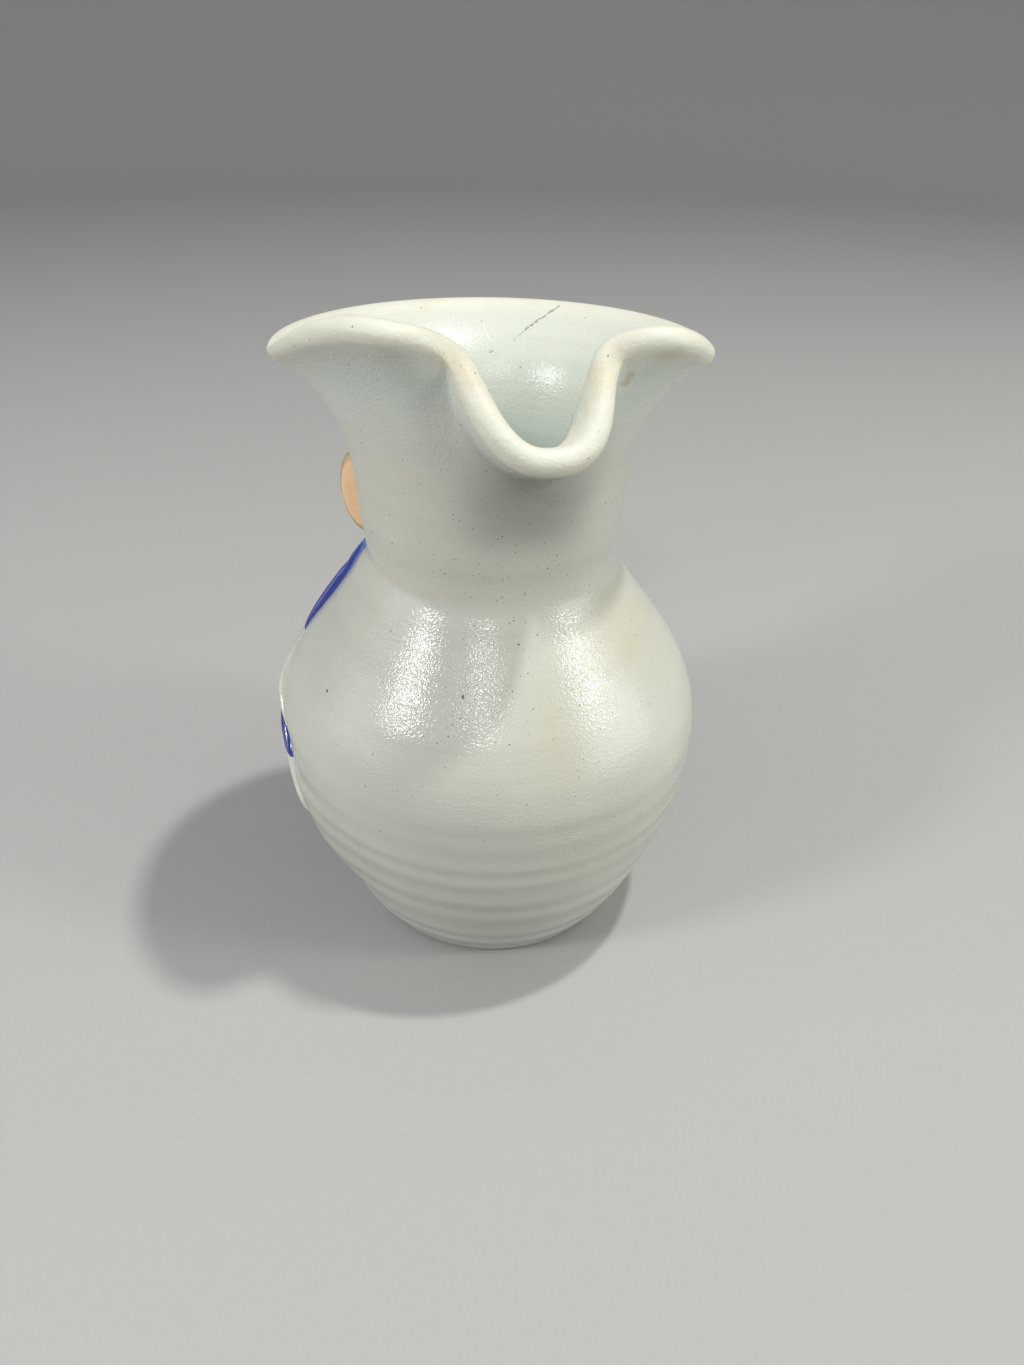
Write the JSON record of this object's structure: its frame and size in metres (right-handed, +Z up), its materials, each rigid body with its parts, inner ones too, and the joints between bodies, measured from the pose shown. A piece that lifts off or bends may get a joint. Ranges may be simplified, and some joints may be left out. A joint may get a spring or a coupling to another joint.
{
  "type": "face jug",
  "caption": "Hand-thrown stoneware pouring jug with a rounded belly, creased neck, flared rim and pulled spout, and a bearded face applied on the side away from the spout.",
  "frame": {"origin": "centre of the flat base, on the surface it stands on", "axes": "+Z up along the axis of the thrown body, -Y along the spout, +Y out of the face"},
  "size_m": [0.108, 0.1049, 0.1618],
  "materials": {
    "body_glaze": "satin-gloss grey-white stoneware glaze with fine iron specks",
    "white_glaze": "satin-gloss white glaze over raised strips",
    "cobalt_glaze": "glossy cobalt blue glaze, paler at its edges",
    "skin_glaze": "satin peach glaze, olive-tan where it is thin",
    "eye_glaze": "glossy white glaze with a painted iris"
  },
  "bodies": {
    "root": {"thrown_belly": "body_glaze", "neck_and_spout": "body_glaze", "face_mask": "skin_glaze", "nose": "skin_glaze", "eyeball_left": "eye_glaze", "eyeball_right": "eye_glaze", "upper_lid_left": "skin_glaze", "upper_lid_right": "skin_glaze", "lower_lid_left": "skin_glaze", "lower_lid_right": "skin_glaze", "brow_left": "cobalt_glaze", "brow_right": "cobalt_glaze", "ear_left": "skin_glaze", "ear_right": "skin_glaze", "upper_lip": "skin_glaze", "lower_lip": "skin_glaze", "moustache_left": "white_glaze", "moustache_right": "white_glaze", "hair_left": "white_glaze", "hair_right": "white_glaze", "sideburn_left": "cobalt_glaze", "sideburn_right": "cobalt_glaze", "beard_left_1": "cobalt_glaze", "beard_left_2": "white_glaze", "beard_left_3": "cobalt_glaze", "beard_left_4": "white_glaze", "beard_left_5": "cobalt_glaze", "beard_left_6": "white_glaze", "beard_left_7": "cobalt_glaze", "beard_left_8": "white_glaze", "beard_left_9": "cobalt_glaze", "beard_right_1": "cobalt_glaze", "beard_right_2": "white_glaze", "beard_right_3": "cobalt_glaze", "beard_right_4": "white_glaze", "beard_right_5": "cobalt_glaze", "beard_right_6": "white_glaze", "beard_right_7": "cobalt_glaze", "beard_right_8": "white_glaze", "beard_right_9": "cobalt_glaze", "beard_centre": "white_glaze"}
  },
  "joints": []
}
